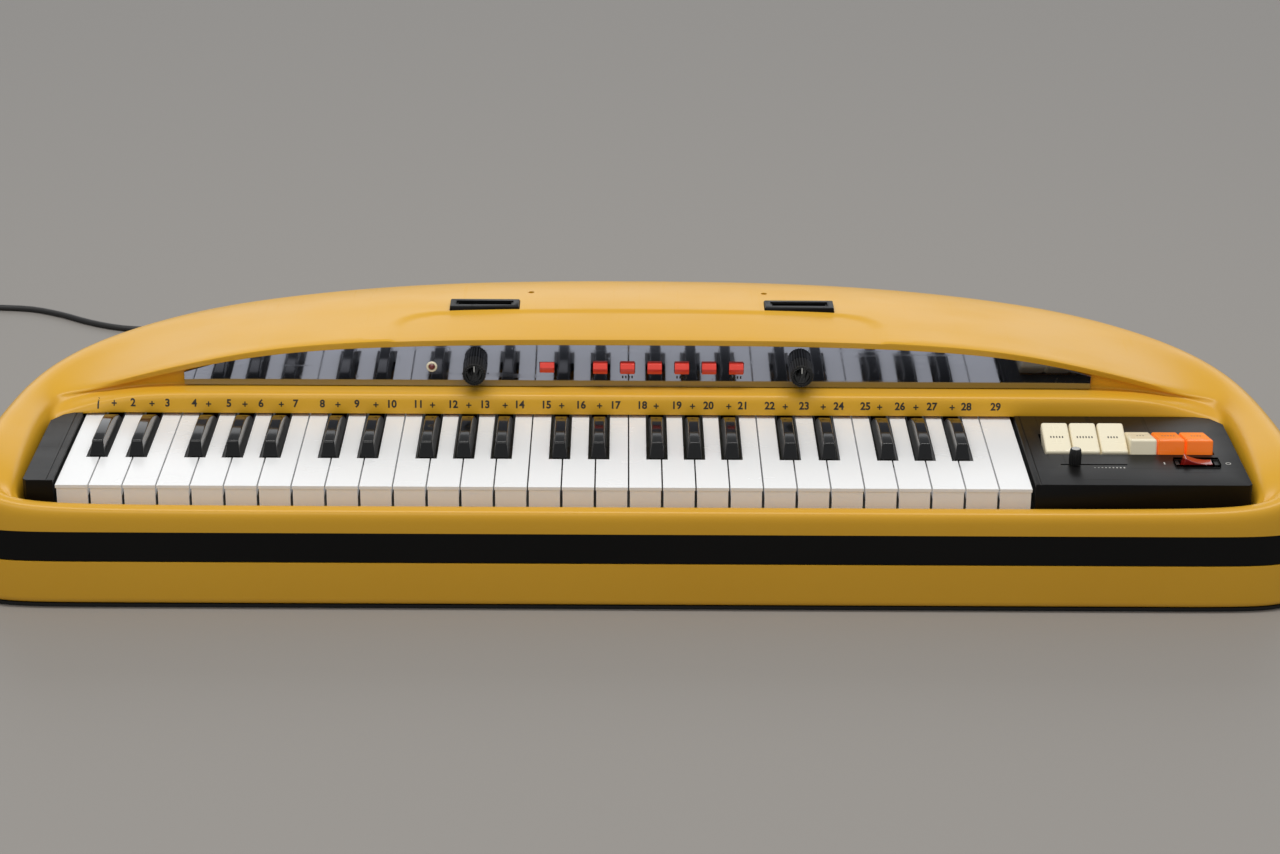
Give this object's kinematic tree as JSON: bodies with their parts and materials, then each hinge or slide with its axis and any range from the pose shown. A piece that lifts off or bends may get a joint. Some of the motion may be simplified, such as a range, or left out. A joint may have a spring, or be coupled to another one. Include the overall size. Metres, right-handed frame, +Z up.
{
  "type": "electronic organ",
  "caption": "Portable tabletop electronic organ: D-shaped plastic case, full keyboard of naturals and sharps, mirrored panel with knobs and push buttons, rocker tabs, slider and a mains lead.",
  "frame": {"origin": "on the floor under the middle of the case, without the mains lead", "axes": "+X from low notes to high notes, +Y from the player to the back, +Z up"},
  "size_m": [1.1389, 0.619, 0.1494],
  "materials": {
    "yellow_case": "satin moulded plastic, lightly worn",
    "black_plastic": "satin black moulded plastic",
    "mirror": "mirrored acrylic",
    "zinc_steel": "zinc plated",
    "circuit_board": "solder mask",
    "iron_core": "varnished laminations",
    "speaker_frame": "black enamel",
    "black_rubber": "smooth sheath",
    "white_key": "polished",
    "black_key": "polished",
    "cream_plastic": "polished, slightly yellowed",
    "orange_plastic": "polished",
    "red_button": "moulded",
    "red_lens": "translucent lens"
  },
  "bodies": {
    "case": {"upper_shell": "yellow_case", "lower_shell": "yellow_case", "trim_band": "black_plastic", "key_chassis": "zinc_steel", "control_board": "circuit_board", "tone_generator_board": "circuit_board", "transformer": "iron_core", "speaker": "speaker_frame", "left_end_block": "black_plastic", "control_panel": "black_plastic", "mirror_panel": "mirror", "music_rest_socket_left": "black_plastic", "music_rest_socket_right": "black_plastic", "cord_gland": "black_rubber", "mains_cord": "black_rubber", "cord_coil": "black_rubber", "mains_plug": "black_rubber"},
    "low_octave_keys": {"low_octave_keys": "white_key"},
    "high_octave_keys": {"high_octave_keys": "white_key"},
    "key_c_2": {"key_c_2": "white_key"},
    "key_c_sharp_2": {"key_c_sharp_2": "black_key"},
    "key_d_2": {"key_d_2": "white_key"},
    "key_d_sharp_2": {"key_d_sharp_2": "black_key"},
    "key_e_2": {"key_e_2": "white_key"},
    "key_f_2": {"key_f_2": "white_key"},
    "key_f_sharp_2": {"key_f_sharp_2": "black_key"},
    "key_g_2": {"key_g_2": "white_key"},
    "key_g_sharp_2": {"key_g_sharp_2": "black_key"},
    "key_a_2": {"key_a_2": "white_key"},
    "key_a_sharp_2": {"key_a_sharp_2": "black_key"},
    "key_b_2": {"key_b_2": "white_key"},
    "key_c_3": {"key_c_3": "white_key"},
    "key_c_sharp_3": {"key_c_sharp_3": "black_key"},
    "key_d_3": {"key_d_3": "white_key"},
    "key_d_sharp_3": {"key_d_sharp_3": "black_key"},
    "key_e_3": {"key_e_3": "white_key"},
    "key_f_3": {"key_f_3": "white_key"},
    "key_f_sharp_3": {"key_f_sharp_3": "black_key"},
    "key_g_3": {"key_g_3": "white_key"},
    "key_g_sharp_3": {"key_g_sharp_3": "black_key"},
    "key_a_3": {"key_a_3": "white_key"},
    "key_a_sharp_3": {"key_a_sharp_3": "black_key"},
    "key_b_3": {"key_b_3": "white_key"},
    "tone_tab_1": {"tone_tab_1": "cream_plastic"},
    "tone_tab_2": {"tone_tab_2": "cream_plastic"},
    "tone_tab_3": {"tone_tab_3": "cream_plastic"},
    "tone_tab_4": {"tone_tab_4": "cream_plastic"},
    "tone_tab_5": {"tone_tab_5": "orange_plastic"},
    "tone_tab_6": {"tone_tab_6": "orange_plastic"},
    "volume_slider": {"volume_slider": "black_plastic"},
    "power_rocker": {"power_rocker": "red_lens"},
    "stop_button": {"stop_button": "red_button"},
    "rhythm_button_1": {"rhythm_button_1": "red_button"},
    "rhythm_button_2": {"rhythm_button_2": "red_button"},
    "rhythm_button_3": {"rhythm_button_3": "red_button"},
    "rhythm_button_4": {"rhythm_button_4": "red_button"},
    "rhythm_button_5": {"rhythm_button_5": "red_button"},
    "rhythm_button_6": {"rhythm_button_6": "red_button"},
    "knob_left": {"knob_left": "black_plastic"},
    "knob_right": {"knob_right": "black_plastic"}
  },
  "joints": [
    {"name": "low_octave_keys_hinge", "type": "hinge", "parent": "case", "child": "low_octave_keys", "pos_m": [-0.32405, 0.025, 0.075], "axis": [1, 0, 0], "range_deg": [0, 3.3], "stiffness_Nm_per_rad": 5.5, "springref_deg": -8.59},
    {"name": "high_octave_keys_hinge", "type": "hinge", "parent": "case", "child": "high_octave_keys", "pos_m": [0.1812, 0.025, 0.075], "axis": [1, 0, 0], "range_deg": [0, 3.3], "stiffness_Nm_per_rad": 5.5, "springref_deg": -8.59},
    {"name": "key_c_2_hinge", "type": "hinge", "parent": "case", "child": "key_c_2", "pos_m": [-0.23005, 0.025, 0.075], "axis": [1, 0, 0], "range_deg": [0, 3.3], "stiffness_Nm_per_rad": 0.5, "springref_deg": -8.59},
    {"name": "key_c_sharp_2_hinge", "type": "hinge", "parent": "case", "child": "key_c_sharp_2", "pos_m": [-0.2205, 0.025, 0.075], "axis": [1, 0, 0], "range_deg": [0, 3.3], "stiffness_Nm_per_rad": 0.5, "springref_deg": -8.59},
    {"name": "key_d_2_hinge", "type": "hinge", "parent": "case", "child": "key_d_2", "pos_m": [-0.20655, 0.025, 0.075], "axis": [1, 0, 0], "range_deg": [0, 3.3], "stiffness_Nm_per_rad": 0.5, "springref_deg": -8.59},
    {"name": "key_d_sharp_2_hinge", "type": "hinge", "parent": "case", "child": "key_d_sharp_2", "pos_m": [-0.1926, 0.025, 0.075], "axis": [1, 0, 0], "range_deg": [0, 3.3], "stiffness_Nm_per_rad": 0.5, "springref_deg": -8.59},
    {"name": "key_e_2_hinge", "type": "hinge", "parent": "case", "child": "key_e_2", "pos_m": [-0.18305, 0.025, 0.075], "axis": [1, 0, 0], "range_deg": [0, 3.3], "stiffness_Nm_per_rad": 0.5, "springref_deg": -8.59},
    {"name": "key_f_2_hinge", "type": "hinge", "parent": "case", "child": "key_f_2", "pos_m": [-0.15955, 0.025, 0.075], "axis": [1, 0, 0], "range_deg": [0, 3.3], "stiffness_Nm_per_rad": 0.5, "springref_deg": -8.59},
    {"name": "key_f_sharp_2_hinge", "type": "hinge", "parent": "case", "child": "key_f_sharp_2", "pos_m": [-0.151, 0.025, 0.075], "axis": [1, 0, 0], "range_deg": [0, 3.3], "stiffness_Nm_per_rad": 0.5, "springref_deg": -8.59},
    {"name": "key_g_2_hinge", "type": "hinge", "parent": "case", "child": "key_g_2", "pos_m": [-0.13605, 0.025, 0.075], "axis": [1, 0, 0], "range_deg": [0, 3.3], "stiffness_Nm_per_rad": 0.5, "springref_deg": -8.59},
    {"name": "key_g_sharp_2_hinge", "type": "hinge", "parent": "case", "child": "key_g_sharp_2", "pos_m": [-0.1243, 0.025, 0.075], "axis": [1, 0, 0], "range_deg": [0, 3.3], "stiffness_Nm_per_rad": 0.5, "springref_deg": -8.59},
    {"name": "key_a_2_hinge", "type": "hinge", "parent": "case", "child": "key_a_2", "pos_m": [-0.11255, 0.025, 0.075], "axis": [1, 0, 0], "range_deg": [0, 3.3], "stiffness_Nm_per_rad": 0.5, "springref_deg": -8.59},
    {"name": "key_a_sharp_2_hinge", "type": "hinge", "parent": "case", "child": "key_a_sharp_2", "pos_m": [-0.0976, 0.025, 0.075], "axis": [1, 0, 0], "range_deg": [0, 3.3], "stiffness_Nm_per_rad": 0.5, "springref_deg": -8.59},
    {"name": "key_b_2_hinge", "type": "hinge", "parent": "case", "child": "key_b_2", "pos_m": [-0.08905, 0.025, 0.075], "axis": [1, 0, 0], "range_deg": [0, 3.3], "stiffness_Nm_per_rad": 0.5, "springref_deg": -8.59},
    {"name": "key_c_3_hinge", "type": "hinge", "parent": "case", "child": "key_c_3", "pos_m": [-0.06555, 0.025, 0.075], "axis": [1, 0, 0], "range_deg": [0, 3.3], "stiffness_Nm_per_rad": 0.5, "springref_deg": -8.59},
    {"name": "key_c_sharp_3_hinge", "type": "hinge", "parent": "case", "child": "key_c_sharp_3", "pos_m": [-0.056, 0.025, 0.075], "axis": [1, 0, 0], "range_deg": [0, 3.3], "stiffness_Nm_per_rad": 0.5, "springref_deg": -8.59},
    {"name": "key_d_3_hinge", "type": "hinge", "parent": "case", "child": "key_d_3", "pos_m": [-0.04205, 0.025, 0.075], "axis": [1, 0, 0], "range_deg": [0, 3.3], "stiffness_Nm_per_rad": 0.5, "springref_deg": -8.59},
    {"name": "key_d_sharp_3_hinge", "type": "hinge", "parent": "case", "child": "key_d_sharp_3", "pos_m": [-0.0281, 0.025, 0.075], "axis": [1, 0, 0], "range_deg": [0, 3.3], "stiffness_Nm_per_rad": 0.5, "springref_deg": -8.59},
    {"name": "key_e_3_hinge", "type": "hinge", "parent": "case", "child": "key_e_3", "pos_m": [-0.01855, 0.025, 0.075], "axis": [1, 0, 0], "range_deg": [0, 3.3], "stiffness_Nm_per_rad": 0.5, "springref_deg": -8.59},
    {"name": "key_f_3_hinge", "type": "hinge", "parent": "case", "child": "key_f_3", "pos_m": [0.00495, 0.025, 0.075], "axis": [1, 0, 0], "range_deg": [0, 3.3], "stiffness_Nm_per_rad": 0.5, "springref_deg": -8.59},
    {"name": "key_f_sharp_3_hinge", "type": "hinge", "parent": "case", "child": "key_f_sharp_3", "pos_m": [0.0135, 0.025, 0.075], "axis": [1, 0, 0], "range_deg": [0, 3.3], "stiffness_Nm_per_rad": 0.5, "springref_deg": -8.59},
    {"name": "key_g_3_hinge", "type": "hinge", "parent": "case", "child": "key_g_3", "pos_m": [0.02845, 0.025, 0.075], "axis": [1, 0, 0], "range_deg": [0, 3.3], "stiffness_Nm_per_rad": 0.5, "springref_deg": -8.59},
    {"name": "key_g_sharp_3_hinge", "type": "hinge", "parent": "case", "child": "key_g_sharp_3", "pos_m": [0.0402, 0.025, 0.075], "axis": [1, 0, 0], "range_deg": [0, 3.3], "stiffness_Nm_per_rad": 0.5, "springref_deg": -8.59},
    {"name": "key_a_3_hinge", "type": "hinge", "parent": "case", "child": "key_a_3", "pos_m": [0.05195, 0.025, 0.075], "axis": [1, 0, 0], "range_deg": [0, 3.3], "stiffness_Nm_per_rad": 0.5, "springref_deg": -8.59},
    {"name": "key_a_sharp_3_hinge", "type": "hinge", "parent": "case", "child": "key_a_sharp_3", "pos_m": [0.0669, 0.025, 0.075], "axis": [1, 0, 0], "range_deg": [0, 3.3], "stiffness_Nm_per_rad": 0.5, "springref_deg": -8.59},
    {"name": "key_b_3_hinge", "type": "hinge", "parent": "case", "child": "key_b_3", "pos_m": [0.07545, 0.025, 0.075], "axis": [1, 0, 0], "range_deg": [0, 3.3], "stiffness_Nm_per_rad": 0.5, "springref_deg": -8.59},
    {"name": "tone_tab_1_rock", "type": "hinge", "parent": "case", "child": "tone_tab_1", "pos_m": [0.30075, -0.0755, 0.092], "axis": [-1, 0, 0], "range_deg": [0, 29]},
    {"name": "tone_tab_2_rock", "type": "hinge", "parent": "case", "child": "tone_tab_2", "pos_m": [0.32085, -0.0755, 0.092], "axis": [-1, 0, 0], "range_deg": [0, 29]},
    {"name": "tone_tab_3_rock", "type": "hinge", "parent": "case", "child": "tone_tab_3", "pos_m": [0.34095, -0.0755, 0.092], "axis": [-1, 0, 0], "range_deg": [0, 29]},
    {"name": "tone_tab_4_rock", "type": "hinge", "parent": "case", "child": "tone_tab_4", "pos_m": [0.36105, -0.0755, 0.092], "axis": [1, 0, 0], "range_deg": [0, 29]},
    {"name": "tone_tab_5_rock", "type": "hinge", "parent": "case", "child": "tone_tab_5", "pos_m": [0.38115, -0.0755, 0.092], "axis": [1, 0, 0], "range_deg": [0, 29]},
    {"name": "tone_tab_6_rock", "type": "hinge", "parent": "case", "child": "tone_tab_6", "pos_m": [0.40125, -0.0755, 0.092], "axis": [1, 0, 0], "range_deg": [0, 29]},
    {"name": "volume_slide", "type": "slide", "parent": "case", "child": "volume_slider", "axis": [1, 0, 0], "range_m": [-0.0076, 0.035]},
    {"name": "power_rock", "type": "hinge", "parent": "case", "child": "power_rocker", "pos_m": [0.396, -0.1104, 0.0883], "axis": [0, -1, 0], "range_deg": [0, 24]},
    {"name": "stop_button_push", "type": "slide", "parent": "case", "child": "stop_button", "axis": [0, 1, 0], "range_m": [0, 0.003], "stiffness_N_per_m": 150, "springref_m": -0.003},
    {"name": "rhythm_button_1_push", "type": "slide", "parent": "case", "child": "rhythm_button_1", "axis": [0, 1, 0], "range_m": [0, 0.003], "stiffness_N_per_m": 150, "springref_m": -0.003},
    {"name": "rhythm_button_2_push", "type": "slide", "parent": "case", "child": "rhythm_button_2", "axis": [0, 1, 0], "range_m": [0, 0.003], "stiffness_N_per_m": 150, "springref_m": -0.003},
    {"name": "rhythm_button_3_push", "type": "slide", "parent": "case", "child": "rhythm_button_3", "axis": [0, 1, 0], "range_m": [0, 0.003], "stiffness_N_per_m": 150, "springref_m": -0.003},
    {"name": "rhythm_button_4_push", "type": "slide", "parent": "case", "child": "rhythm_button_4", "axis": [0, 1, 0], "range_m": [0, 0.003], "stiffness_N_per_m": 150, "springref_m": -0.003},
    {"name": "rhythm_button_5_push", "type": "slide", "parent": "case", "child": "rhythm_button_5", "axis": [0, 1, 0], "range_m": [0, 0.003], "stiffness_N_per_m": 150, "springref_m": -0.003},
    {"name": "rhythm_button_6_push", "type": "slide", "parent": "case", "child": "rhythm_button_6", "axis": [0, 1, 0], "range_m": [0, 0.003], "stiffness_N_per_m": 150, "springref_m": -0.003},
    {"name": "knob_left_turn", "type": "hinge", "parent": "case", "child": "knob_left", "pos_m": [-0.12, -0.018, 0.1195], "axis": [0, -1, 0], "range_deg": [-140, 140]},
    {"name": "knob_right_turn", "type": "hinge", "parent": "case", "child": "knob_right", "pos_m": [0.12, -0.018, 0.1195], "axis": [0, -1, 0], "range_deg": [-140, 140]}
  ]
}
